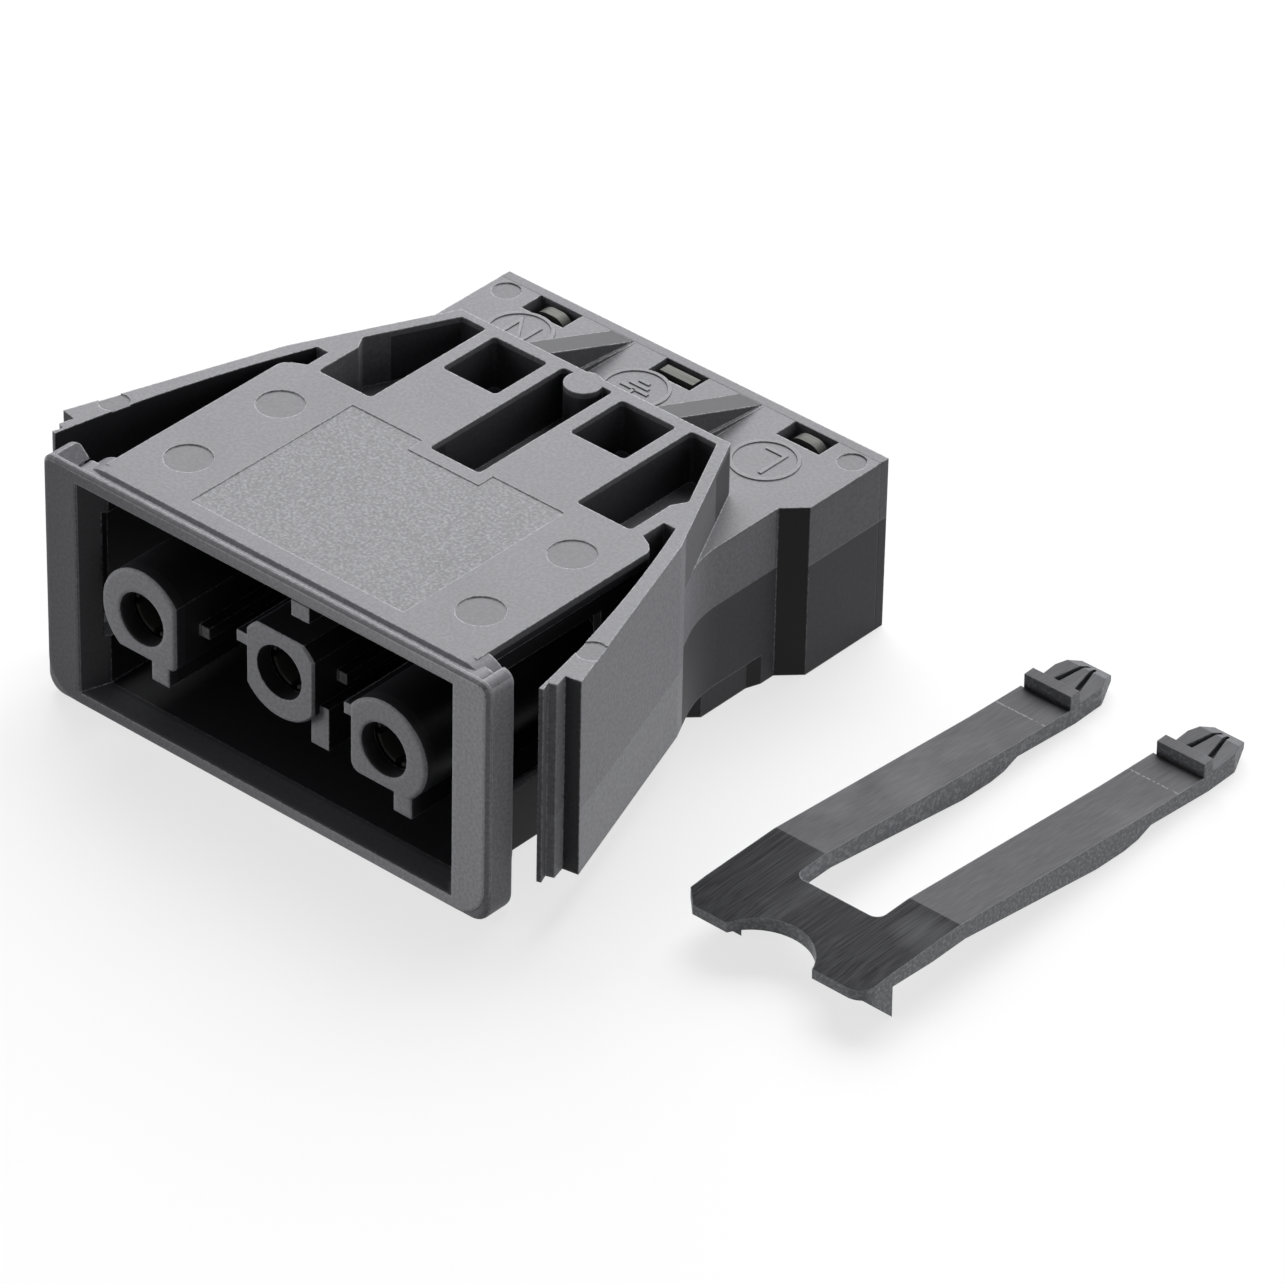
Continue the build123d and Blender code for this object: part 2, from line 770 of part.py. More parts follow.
def fork_plan():
    """Outline of the fork from above, with its front edge on y = 0."""
    half = fork_half_width
    plate = Pos(0, fork_length / 2) * Rectangle(2 * half, fork_length)
    slot_length = fork_length - fork_base_length + 1
    slot = Pos(0, fork_base_length + slot_length / 2) * Rectangle(2 * fork_slot_half_width, slot_length)
    slot = fillet(slot.vertices().sort_by(Axis.Y)[:2], fork_slot_corner)
    plate = fillet(plate.vertices().group_by(Axis.Y)[0].sort_by(Axis.X)[-1], fork_corner)
    plate = chamfer(plate.vertices().group_by(Axis.Y)[0].sort_by(Axis.X)[0], fork_corner) - slot
    radius = (fork_notch_half_width**2 + fork_notch_depth**2) / (2 * fork_notch_depth)
    return plate - Pos(0, fork_notch_depth - radius) * Circle(radius)


def fork_cheek(side):
    """Stock that is cut away beside a head, in plan about the head's middle."""
    half = (fork_half_width - fork_slot_half_width - fork_head_inset) / 2
    corner = Polyline(
        (side * half, fork_catch_from_front),
        (side * (half + 1), fork_catch_from_front),
        (side * (half + 1), fork_length + 1),
        (side * fork_tip_half_width, fork_length + 1),
        (side * fork_tip_half_width, fork_length),
        (side * half, fork_cheek_from_front),
        close=True,
    )
    return stand(-1, fork_catch_high_z + 1, make_face(corner))


def fork_groove(side):
    """Slanting groove in the top of a head, in plan about the head's middle."""
    half = fork_groove_width / 2
    tip_x = side * fork_groove_tip_spread
    start_x = side * fork_groove_spread
    outline = Polyline(
        (start_x - half, fork_groove_from_front),
        (start_x + half, fork_groove_from_front),
        (tip_x + half / 2, fork_groove_to_front),
        (tip_x - half / 2, fork_groove_to_front),
        close=True,
    )
    head_top = fork_head_side[0][1]
    return stand(head_top - fork_groove_depth, head_top + 1, make_face(outline))


def fork_prong(side):
    """Catch and front wedge of one prong, before they are trimmed to the outline from above."""
    prong = side * (fork_half_width + fork_slot_half_width) / 2
    half = (fork_half_width - fork_slot_half_width) / 2
    catch = slab(
        (prong - half + fork_head_inset, prong + half),
        (fork_catch_from_front, fork_catch_from_front + fork_catch_width),
        (fork_catch_low_z, fork_catch_high_z),
    )
    near = side * (fork_half_width - fork_barb_insets[0 if side < 0 else 1])
    far = near - side * fork_barb_width
    return catch + side_profile(min(near, far), max(near, far), fork_barb_side)


def make_locking_fork():
    """Two pronged fork with catches near its tips, laid flat on the resting plane."""
    outline = fork_crown_top + fork_prong_top + fork_head_side + fork_prong_under + fork_crown_under
    profile = side_profile(-fork_half_width, fork_half_width, outline)
    blank = stand(0, fork_crown_top[-1][1] + 1, fork_plan())
    fork = blank & profile
    for side in (-1, 1):
        fork += fork_prong(side) & blank
        head = (side * (fork_half_width + fork_slot_half_width) + fork_head_inset) / 2
        for cheek in (-1, 1):
            fork -= Pos(head, 0, 0) * fork_cheek(cheek)
            fork -= Pos(head, 0, 0) * fork_groove(cheek)
    tilt = Rot(math.degrees(rest_tilt), 0, 0)
    return Pos(fork_centre_x, 0, -lip_half_height) * tilt * Pos(0, fork_front_y, 0) * fork


def write(name, shape):
    """Write one piece as a STEP file under its own name."""
    shape.label = name
    export_step(shape, os.path.join("parts", name + ".step"))


pole_names = ("neutral", "earth", "line")

write("housing", make_housing())
write("rear_cover", make_rear_cover())
write("locking_fork", make_locking_fork())
for number, pole in enumerate(pole_names):
    write("contact_" + pole, make_contact(number))
    write("over_spring_" + pole, make_over_spring(number))
    write("terminal_frame_" + pole, make_terminal_frame(number))
    write("clamp_spring_" + pole + "_left", make_clamp_spring(number, -1))
    write("clamp_spring_" + pole + "_right", make_clamp_spring(number, 1))
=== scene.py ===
"""Finish, markings, floor, light and camera for a three pole snap-in socket coupler."""

import logging
import math
from dataclasses import dataclass, field
from enum import Enum
from functools import partial
from typing import Any, Callable, NamedTuple, Sequence

import bmesh
import bpy
from mathutils import Matrix, Vector


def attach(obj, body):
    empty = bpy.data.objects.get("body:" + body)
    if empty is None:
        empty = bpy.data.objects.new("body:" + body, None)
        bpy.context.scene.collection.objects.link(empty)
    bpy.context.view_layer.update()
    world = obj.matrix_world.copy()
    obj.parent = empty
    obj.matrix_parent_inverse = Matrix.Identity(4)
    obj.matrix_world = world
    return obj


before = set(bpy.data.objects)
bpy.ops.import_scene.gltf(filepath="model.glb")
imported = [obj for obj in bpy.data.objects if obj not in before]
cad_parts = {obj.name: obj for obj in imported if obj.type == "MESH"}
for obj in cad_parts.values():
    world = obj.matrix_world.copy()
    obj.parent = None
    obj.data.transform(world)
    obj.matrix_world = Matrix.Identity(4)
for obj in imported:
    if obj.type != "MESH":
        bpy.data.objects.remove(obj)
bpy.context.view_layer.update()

LOG = logging.getLogger("socket_coupler")
MM = 0.001
BODY = "root"
WHITE = "#ffffff"
POLYAMIDE_IOR = 1.53

Point = tuple[float, float]
Spot = tuple[float, float, float]
Put = Callable[..., Any]


def linear(code: str) -> tuple[float, float, float, float]:
    """Turns an sRGB hex colour into linear light.

    Args:
        code: Colour such as "#57585b".

    Returns:
        Red, green, blue and alpha, linear.
    """
    values = [int(code[i : i + 2], 16) / 255 for i in (1, 3, 5)]
    low = [v / 12.92 if v <= 0.04045 else ((v + 0.055) / 1.055) ** 2.4 for v in values]
    return (low[0], low[1], low[2], 1.0)


def add(tree: bpy.types.NodeTree, kind: str, links: dict[Any, Any] | None = None, **settings: Any) -> Any:
    """Adds a node with its settings, socket values and links.

    Args:
        tree: Node tree to add to.
        kind: Node type name.
        links: Input name or number to a value, an output socket or a node, whose first output in
            use then feeds it.
        settings: Properties of the node itself.

    Returns:
        The new node.
    """
    node = tree.nodes.new(kind)
    for name, value in settings.items():
        setattr(node, name, value)
    for name, value in (links or {}).items():
        if isinstance(value, bpy.types.Node):
            value = next(output for output in value.outputs if output.enabled)
        if isinstance(value, bpy.types.NodeSocket):
            tree.links.new(value, node.inputs[name])
        else:
            node.inputs[name].default_value = value
    return node


def empty_tree(owner: bpy.types.Material | bpy.types.World) -> Put:
    """Empties the node tree of a material or a world.

    Args:
        owner: Material or world that has the tree.

    Returns:
        The function add for this tree, called put in this file.
    """
    owner.use_nodes = True
    owner.node_tree.nodes.clear()
    return partial(add, owner.node_tree)


class Span(NamedTuple):
    """Range of a pattern or a cosine, and the range that it is carried to."""

    low: float
    high: float
    least: float = 0.0
    most: float = 1.0

    def of(self, value: Any) -> dict[str, Any]:
        """Inputs that carry a value from the one range to the other.

        Args:
            value: Node or socket with the value.

        Returns:
            Names of the inputs with what they are set to.
        """
        ends = ("From Min", "From Max", "To Min", "To Max")
        return {"Value": value, **dict(zip(ends, self))}


class Drawn(Enum):
    """Way a pattern is drawn out: what is left of its frequency along X, Y and Z."""

    EVENLY = (1.0, 1.0, 1.0)
    ALONG_X = (0.03, 1.0, 1.0)
    ALONG_Y = (1.0, 0.02, 1.0)
    A_LITTLE_ALONG_Y = (1.0, 0.6, 1.0)


def pattern(put: Put, place: Any, size_mm: float, detail: float = 2.0, drawn: Drawn = Drawn.EVENLY) -> Any:
    """Uneven pattern of a real size.

    Args:
        put: Adds a node to the tree.
        place: Socket with object coordinates in metres.
        size_mm: Size of one grain of the pattern.
        detail: Number of finer grains on top.
        drawn: Way it is drawn out.

    Returns:
        Node with the pattern, from 0 to 1.
    """
    scale = [share / (size_mm * MM) for share in drawn.value]
    sized = put("ShaderNodeMapping", {"Vector": place, "Scale": scale})
    return put("ShaderNodeTexNoise", {"Vector": sized, "Scale": 1.0, "Detail": detail})


def coat(put: Put, base: Any, coats: Sequence[tuple[Any, str]]) -> Any:
    """Lays colours over a base, one over the other.

    Args:
        put: Adds a node to the tree.
        base: Linear colour or node that lies underneath.
        coats: Share of each colour, as a node, with the colour in hex.

    Returns:
        Node with the colour that is seen.
    """
    for share, code in coats:
        base = put("ShaderNodeMix", {"Factor": share, "A": base, "B": linear(code)}, data_type="RGBA")
    return base


def rub_and_highlight_edges(put: Put, flat: Any, radius_mm: float, wear_and_highlight: Span) -> tuple[Any, Any]:
    """Rounds the edges for the eye and finds where they are paler, partly rubbed and partly a painted
    highlight.

    Args:
        put: Adds a node to the tree.
        flat: Socket with the face's own normal.
        radius_mm: Radius of the edges.
        wear_and_highlight: Cosines of the bend where the paler edge starts and is full, and its share. The
            paleness is partly rubbing and partly a painted highlight.

    Returns:
        Node with the rounded normal and node with the share of the paler edge, partly rubbing and partly a
        painted highlight.
    """
    rounded = put("ShaderNodeBevel", {"Radius": radius_mm * MM}, samples=4)
    bend = put("ShaderNodeVectorMath", {0: rounded, 1: flat}, operation="DOT_PRODUCT")
    return rounded, put("ShaderNodeMapRange", wear_and_highlight.of(bend))


class Facing(Enum):
    """Faces that a tone is laid on: a direction and the range of its cosine with the normal."""

    ANY = ((0.0, 0.0, 1.0), -1.1, 1.1)
    UPRIGHT = ((0.0, 0.0, 1.0), -0.5, 0.5)
    UP = ((0.0, 0.0, 1.0), 0.5, 1.1)
    FRONT = ((0.0, -1.0, 0.0), 0.7, 1.1)
    FRONT_RIGHT = ((0.7071, -0.7071, 0.0), 0.9, 1.1)
    SLOPING = ((0.0, 0.0, 1.0), 0.2, 0.975)
    SIDEWAYS = ((0.0, 1.0, 0.0), -0.75, 0.75)
    RIGHT = ((1.0, 0.0, 0.0), 0.6, 1.1)
    LEFT = ((-1.0, 0.0, 0.0), 0.6, 1.1)


@dataclass(frozen=True)
class Zone:
    """Box on a piece, in millimetres, where the faces that look one way get a tone laid over them."""

    low: Spot
    high: Spot
    tone: str
    facing: Facing = Facing.ANY
    share: float = 1.0
    fades_in_from_left: bool = False
    is_round: bool = False

    def mask(self, put: Put, place: Any, flat: Any) -> Any:
        """Mask of the zone.

        Args:
            put: Adds a node to the tree.
            place: Socket with object coordinates in metres.
            flat: Socket with the face's own normal.

        Returns:
            Node that is the zone's share inside it and 0 elsewhere.
        """
        half = [(high - low) / 2 * MM for low, high in zip(self.low, self.high)]
        middle = [(high + low) / 2 * MM for low, high in zip(self.low, self.high)]
        moved = put("ShaderNodeVectorMath", {0: place, 1: middle}, operation="SUBTRACT")
        scaled = put("ShaderNodeVectorMath", {0: moved, 1: half}, operation="DIVIDE")
        reach = put("ShaderNodeVectorMath", {0: scaled}, operation="ABSOLUTE")
        x, y, z = put("ShaderNodeSeparateXYZ", {"Vector": reach}).outputs
        if self.is_round:
            squares = [put("ShaderNodeMath", {0: part, 1: 2.0}, operation="POWER") for part in (x, y)]
            across = put("ShaderNodeMath", dict(enumerate(squares)), operation="ADD")
        else:
            across = put("ShaderNodeMath", {0: x, 1: y}, operation="MAXIMUM")
        far = put("ShaderNodeMath", {0: across, 1: z}, operation="MAXIMUM")
        inside = put("ShaderNodeMath", {0: far, 1: 1.0}, operation="LESS_THAN")
        towards, least, most = self.facing.value
        turn = put("ShaderNodeVectorMath", {0: flat, 1: towards}, operation="DOT_PRODUCT")
        accepted = {0: turn, 1: (least + most) / 2, 2: (most - least) / 2}
        facing = put("ShaderNodeMath", accepted, operation="COMPARE")
        both = put("ShaderNodeMath", {0: inside, 1: facing}, operation="MULTIPLY")
        result = put("ShaderNodeMath", {0: both, 1: self.share}, operation="MULTIPLY")
        if self.fades_in_from_left:
            along = put("ShaderNodeSeparateXYZ", {"Vector": scaled}).outputs["X"]
            risen = put("ShaderNodeMapRange", Span(-1.0, 1.0).of(along))
            result = put("ShaderNodeMath", {0: result, 1: risen}, operation="MULTIPLY")
        return result


@dataclass(frozen=True)
class Finish:
    """One finish, named for what the real material is and how its surface was made."""

    name: str

    def build(self) -> bpy.types.Material:
        """Makes the material.

        Returns:
            The finished material.
        """
        material = bpy.data.materials.new(self.name)
        put = empty_tree(material)
        place = put("ShaderNodeTexCoord").outputs["Object"]
        shader = put("ShaderNodeBsdfPrincipled", self.surface(put, place))
        put("ShaderNodeOutputMaterial", {"Surface": shader})
        return material

    def surface(self, put: Put, place: Any) -> dict[str, Any]:
        """What the surface is like, which each kind of finish says for itself.

        Args:
            put: Adds a node to the tree.
            place: Socket with object coordinates in metres.

        Returns:
            Inputs of the surface shader with their values and nodes.
        """
        raise NotImplementedError


@dataclass(frozen=True)
class MouldedPolyamide(Finish):
    """Black polyamide with glass fibres, as it comes from the mould."""

    # The fibres break the gloss, so the eye sees a satin dark grey with a fine mottle, clouds of
    # about 5 mm where the melt has flowed, and paler edges, partly rubbed and partly a painted
    # highlight. The grain of such a mould is usually about 0.05 mm, too fine to show in the render,
    # and is drawn at 0.22 mm.
    body: str
    flow: str
    edge: str
    roughness: float
    roughness_spread: float = 0.05
    specular: float = 0.18
    grain_mm: float = 0.22
    grain_depth_mm: float = 0.006
    grain_relief: float = 0.5
    flow_mm: float = 5.0
    clouds: Span = Span(0.3, 0.7)
    grit: Span = Span(0.35, 0.65, 0.86, 1.14)
    # Paler edges, partly rubbed and partly a painted highlight.
    edge_mm: float = 0.14
    wear_and_highlight: Span = Span(0.995, 0.86, most=0.85)
    chips: Span = Span(0.35, 0.6, least=0.3)
    edges_kept_plain: Zone | None = None
    # The field on the top is eroded finely in the mould: duller, with pale points. Its texture is
    # drawn at 0.2 mm for the same reason as the grain.
    frosted: Zone | None = None
    frost_mm: float = 0.2
    frost_dulling: float = 0.3
    sparkles: Span = Span(0.4, 0.7, most=0.16)
    rounded_rim: Zone | None = None
    rim_edge_mm: float = 0.45
    zones: tuple[Zone, ...] = ()

    def surface(self, put: Put, place: Any) -> dict[str, Any]:
        """Lays grain, flow marks, frosting, local tones, most of them painted shade and light, and paler
        edges, partly rubbed and partly a painted highlight, over the body colour.

        Args:
            put: Adds a node to the tree.
            place: Socket with object coordinates in metres.

        Returns:
            Inputs of the surface shader with their values and nodes.
        """
        flat = put("ShaderNodeNewGeometry").outputs["Normal"]
        grain = pattern(put, place, self.grain_mm)
        flow = pattern(put, place, self.flow_mm, 3.0)
        # Paler edges, partly rubbed and partly a painted highlight, broken up by the grain.
        rounded, worn_and_lit = rub_and_highlight_edges(put, flat, self.edge_mm, self.wear_and_highlight)
        chipped = put("ShaderNodeMapRange", self.chips.of(grain))
        worn_and_lit = put("ShaderNodeMath", {0: worn_and_lit, 1: chipped}, operation="MULTIPLY")
        if self.edges_kept_plain is not None:
            spared = self.edges_kept_plain.mask(put, place, flat)
            kept = put("ShaderNodeMath", {0: 1.0, 1: spared}, operation="SUBTRACT")
            worn_and_lit = put("ShaderNodeMath", {0: worn_and_lit, 1: kept}, operation="MULTIPLY")
        if self.rounded_rim is not None:
            rim = self.rounded_rim.mask(put, place, flat)
            wider = {0: rim, 1: (self.rim_edge_mm - self.edge_mm) * MM, 2: self.edge_mm * MM}
            radius = put("ShaderNodeMath", wider, operation="MULTIPLY_ADD")
            rounded = put("ShaderNodeBevel", {"Radius": radius}, samples=6)
        coats = [(put("ShaderNodeMapRange", self.clouds.of(flow)), self.flow)]
        depth = grain
        if self.frosted is not None:
            eroded = self.frosted.mask(put, place, flat)
            speckle = pattern(put, place, self.frost_mm, 1.0)
            raised = put("ShaderNodeMath", {0: speckle, 1: eroded}, operation="MULTIPLY")
            depth = put("ShaderNodeMath", {0: grain, 1: raised}, operation="ADD")
            dull = put("ShaderNodeMath", {0: eroded, 1: self.frost_dulling}, operation="MULTIPLY")
            bright = put("ShaderNodeMapRange", self.sparkles.of(speckle))
            bright = put("ShaderNodeMath", {0: eroded, 1: bright}, operation="MULTIPLY")
            coats += [(dull, self.frosted.tone), (bright, self.edge)]
        # Local tones of the zones, most of them painted shade and painted light.
        coats += [(zone.mask(put, place, flat), zone.tone) for zone in self.zones]
        base = coat(put, linear(self.body), coats)
        gritty = {"Factor": 1.0, "A": base, "B": put("ShaderNodeMapRange", self.grit.of(grain))}
        base = put("ShaderNodeMix", gritty, data_type="RGBA", blend_type="MULTIPLY")
        matt = Span(0.0, 1.0, self.roughness - self.roughness_spread, self.roughness + self.roughness_spread)
        relief = {
            "Height": depth,
            "Strength": self.grain_relief,
            "Distance": self.grain_depth_mm * MM,
            "Normal": rounded,
        }
        return {
            "Base Color": coat(put, base, [(worn_and_lit, self.edge)]),
            "Roughness": put("ShaderNodeMapRange", matt.of(grain)),
            "IOR": POLYAMIDE_IOR,
            "Specular IOR Level": self.specular,
            "Normal": put("ShaderNodeBump", relief),
        }


@dataclass(frozen=True)
class BrushedPolyamide(Finish):
    """Smooth black polyamide of the fork, brushed along its prongs."""

    # The crown is nearly black and plain: painted shade, as its smooth top reflects little light. The
    # prongs and heads are paler, a painted sheen on their tops, with thin lines along them, and the
    # sides are grainy and pale, which is painted light. Brush lines are usually about 0.03 mm wide,
    # too fine to show in the render, and are drawn at 0.11 mm.
    crown: str = "#0e0e10"
    prong: str = "#4a494b"
    head: str = "#4c4c4f"
    side: str = "#8e8f93"
    side_light: str = "#b4b5b9"
    edge: str = "#b0b1b5"
    roughness: float = 0.5
    specular: float = 0.03
    bend_mm: float = 15.75
    catch_mm: float = 39.1
    line_mm: float = 0.11
    streaks: Span = Span(0.3, 0.75, most=0.07)
    smear_mm: float = 4.5
    smears: Span = Span(0.5, 0.75, most=0.1)
    speckle_mm: float = 0.22
    grit: Span = Span(0.45, 0.7)
    # A witness line of the mould crosses each prong, broken by the speckle.
    seam_mm: float = 36.5
    seam_width_mm: float = 0.14
    seam_breaks: float = 0.48
    seam_share: float = 0.25
    # Tops and sides told apart by the slope of the face: the paler sides are painted light.
    upward: Span = Span(0.8, 0.95)
    # Paler edges, partly rubbed and partly a painted highlight, mostly left off the heads.
    edge_mm: float = 0.1
    wear_and_highlight: Span = Span(0.995, 0.86, most=0.8)
    wear_and_highlight_lost_on_head: float = 0.7
    # Painted shade in the nooks.
    nook_mm: float = 0.5
    nooks: Span = Span(0.55, 0.95, least=0.25)
    relief: float = 0.4
    relief_mm: float = 0.008

    def surface(self, put: Put, place: Any) -> dict[str, Any]:
        """Tells crown, prongs, heads and sides apart by painted light and shade, and darkens the nooks
        with painted shade.

        Args:
            put: Adds a node to the tree.
            place: Socket with object coordinates in metres.

        Returns:
            Inputs of the surface shader with their values and nodes.
        """
        lines = pattern(put, place, self.line_mm, drawn=Drawn.ALONG_Y)
        smear = pattern(put, place, self.smear_mm, drawn=Drawn.A_LITTLE_ALONG_Y)
        speckle = pattern(put, place, self.speckle_mm)
        along = put("ShaderNodeSeparateXYZ", {"Vector": place}).outputs["Y"]
        past_bend = put("ShaderNodeMath", {0: along, 1: self.bend_mm * MM}, operation="GREATER_THAN")
        past_catch = put("ShaderNodeMath", {0: along, 1: self.catch_mm * MM}, operation="GREATER_THAN")
        seam_place = {0: along, 1: self.seam_mm * MM, 2: self.seam_width_mm / 2 * MM}
        seam = put("ShaderNodeMath", seam_place, operation="COMPARE")
        unbroken = put("ShaderNodeMath", {0: speckle, 1: self.seam_breaks}, operation="GREATER_THAN")
        seam = put("ShaderNodeMath", {0: seam, 1: unbroken}, operation="MULTIPLY")
        seam = put("ShaderNodeMath", {0: seam, 1: self.seam_share}, operation="MULTIPLY")
        # Tones along the fork: the dark crown is painted shade, and the paler prongs and heads are a painted
        # sheen.
        top_coats = [
            (past_bend, self.prong),
            (past_catch, self.head),
            (put("ShaderNodeMapRange", self.streaks.of(lines)), self.side_light),
            (put("ShaderNodeMapRange", self.smears.of(smear)), self.side_light),
            (seam, self.edge),
        ]
        top = coat(put, linear(self.crown), top_coats)
        grit = put("ShaderNodeMapRange", self.grit.of(speckle))
        side = coat(put, linear(self.side), [(grit, self.side_light)])
        flat = put("ShaderNodeNewGeometry").outputs["Normal"]
        height = put("ShaderNodeSeparateXYZ", {"Vector": flat}).outputs["Z"]
        upward = put("ShaderNodeMapRange", self.upward.of(height))
        # Sides paler than the tops: painted light on the sides.
        base = put("ShaderNodeMix", {"Factor": upward, "A": side, "B": top}, data_type="RGBA")
        # Paler edges, partly rubbed and partly a painted highlight, mostly left off the heads.
        rounded, worn_and_lit = rub_and_highlight_edges(put, flat, self.edge_mm, self.wear_and_highlight)
        less_worn_and_lit = {0: past_catch, 1: -self.wear_and_highlight_lost_on_head, 2: worn_and_lit}
        worn_and_lit = put("ShaderNodeMath", less_worn_and_lit, operation="MULTIPLY_ADD")
        base = coat(put, base, [(worn_and_lit, self.edge)])
        # Painted shade in the nooks, darker where less open space is near.
        reached = {"Distance": self.nook_mm * MM}
        open_share = put("ShaderNodeAmbientOcclusion", reached, samples=8, only_local=True).outputs["AO"]
        shaded = {"Factor": 1.0, "A": base, "B": put("ShaderNodeMapRange", self.nooks.of(open_share))}
        relief = {
            "Height": put("ShaderNodeMix", {"Factor": upward, "A": speckle, "B": lines}),
            "Strength": self.relief,
            "Distance": self.relief_mm * MM,
            "Normal": rounded,
        }
        return {
            "Base Color": put("ShaderNodeMix", shaded, data_type="RGBA", blend_type="MULTIPLY"),
            "Roughness": self.roughness,
            "IOR": POLYAMIDE_IOR,
            "Specular IOR Level": self.specular,
            "Normal": put("ShaderNodeBump", relief),
        }


@dataclass(frozen=True)
class DrawnMetal(Finish):
    """Metal strip or wire, drawn along the poles' row."""

    # Tin on copper is dull and grey, spring steel is pale with a soft gloss, and both show thin
    # lines. These are usually about 0.02 mm wide, too fine to show, and are drawn at 0.12 mm.
    body: str
    shade: str
    roughness: float
    roughness_spread: float = 0.08
    line_mm: float = 0.12
    relief: float = 0.3
    relief_mm: float = 0.004

    def surface(self, put: Put, place: Any) -> dict[str, Any]:
        """Lays draw lines over the metal.

        Args:
            put: Adds a node to the tree.
            place: Socket with object coordinates in metres.

        Returns:
            Inputs of the surface shader with their values and nodes.
        """
        lines = pattern(put, place, self.line_mm, 3.0, Drawn.ALONG_X)
        gloss = Span(0.0, 1.0, self.roughness - self.roughness_spread, self.roughness + self.roughness_spread)
        relief = {"Height": lines, "Strength": self.relief, "Distance": self.relief_mm * MM}
        return {
            "Base Color": coat(put, linear(self.body), [(lines, self.shade)]),
            "Metallic": 1.0,
            "Roughness": put("ShaderNodeMapRange", gloss.of(lines)),
            "Normal": put("ShaderNodeBump", relief),
        }


# Local tones of the housing. They are matched to the photograph place by place, and most stand for
# shade and light that the lamps do not give, not for a known difference of the plastic. They are
# fixed to the coupler, some are on one side only, and zones=() gives the plain plastic.
# Places are in millimetres from the middle of the mating opening. A zone that has no limit on a
# side reaches past the coupler there.
PAST_MM = 30.0
LIP_REAR_MM = 0.72
COLLAR_REAR_MM = 3.5
SHROUD_REAR_MM = 15.8
ARM_ROOT_MM = 20.5
ARM_INNER_MM = 17.3
ARM_ROOT_INNER_MM = 15.45
GUSSET_FRONT_MM = 30.6
COVER_JOINT_MM = 38.85
JOINT_REACH_MM = 0.3
BLOCK_TOP_MM = 4.4
BLOCK_REAR_MM = 45.0
PARTING_LINE_MM = 0.05
PARTING_LINE_REACH_MM = 0.04


def both_sides(low: Spot, high: Spot, tone: str, facing: Facing) -> tuple[Zone, Zone]:
    """Zone on the right of the coupler and its mirror image.

    Args:
        low: Lower corner of the zone.
        high: Upper corner of the zone.
        tone: Colour in hex.
        facing: Faces that it is laid on.

    Returns:
        The right zone and the left zone.
    """
    mirrored = Zone((-high[0], *low[1:]), (-low[0], *high[1:]), tone, facing)
    return Zone(low, high, tone, facing), mirrored


LOWER_SIDE_SHADE_AND_PARTING_LINE = (
    # Sides below the parting line, darker as painted shade, and the paler parting line itself.
    Zone(
        (-PAST_MM, ARM_ROOT_MM, -PAST_MM),
        (PAST_MM, BLOCK_REAR_MM, PARTING_LINE_MM),
        "#363639",
        Facing.SIDEWAYS,
    ),
    Zone(
        (-PAST_MM, ARM_ROOT_MM, PARTING_LINE_MM - PARTING_LINE_REACH_MM),
        (PAST_MM, BLOCK_REAR_MM, PARTING_LINE_MM + PARTING_LINE_REACH_MM),
        "#9a9a9f",
        Facing.UPRIGHT,
        0.4,
    ),
)
# The lip, whose edges are rounder than the others.
LIP = Zone((-18, -0.1, -PAST_MM), (18, LIP_REAR_MM, PAST_MM), "#8f8f93")
# The bare, finely eroded field on the top.
FROSTED_FIELD = Zone((-8.8, 3.0, 8.0), (8.8, 17.5, 8.07), "#3c3c3f")
FRONT_PAINTED_LIGHT_AND_SHADE = (
    # Face of the lip, paler towards the right: a painted sheen of light from the right.
    Zone((-18, -0.1, -10), (18.2, 0.04, 10), "#bcbcc1", Facing.FRONT, fades_in_from_left=True),
    # Sides of the lip and its collar, paler: painted light.
    Zone((-18.4, 0.05, -10), (18.4, COLLAR_REAR_MM, 10), "#88888d", Facing.UPRIGHT),
    # Sides of the shroud behind the collar, and where the arms leave it, darker: painted shade.
    Zone((-ARM_INNER_MM, 3.46, -8.6), (ARM_INNER_MM, SHROUD_REAR_MM, 7.6), "#28282b", Facing.UPRIGHT),
    Zone((-15.4, 15.7, -8.6), (15.4, 18.6, 7.6), "#1f1f22", Facing.UPRIGHT),
    # Edge of the opening and the space behind it, darker: painted shade.
    Zone((-15.4, 0.04, -7.8), (15.4, 3.4, 7.8), "#2b2b2e"),
    Zone((-14.3, 0.9, -7.2), (14.3, 17, 7.2), "#1f1f22"),
    # Faces of the sleeves, and the ends of two coding ribs, paler: painted light.
    Zone((-13.6, -0.3, -5.6), (13.6, 9.0, 5.6), "#a0a0a5", Facing.FRONT),
    Zone((-7.0, 2.1, -0.8), (-5.4, 2.2, 0.4), "#f0f0f2", Facing.FRONT),
    Zone((3.0, 3.6, -0.1), (4.6, 3.7, 1.0), "#f0f0f2", Facing.FRONT),
)
ARM_ROW = (ARM_INNER_MM, COLLAR_REAR_MM, SHROUD_REAR_MM)
ROOT_ROW = (ARM_ROOT_INNER_MM, SHROUD_REAR_MM, ARM_ROOT_MM)
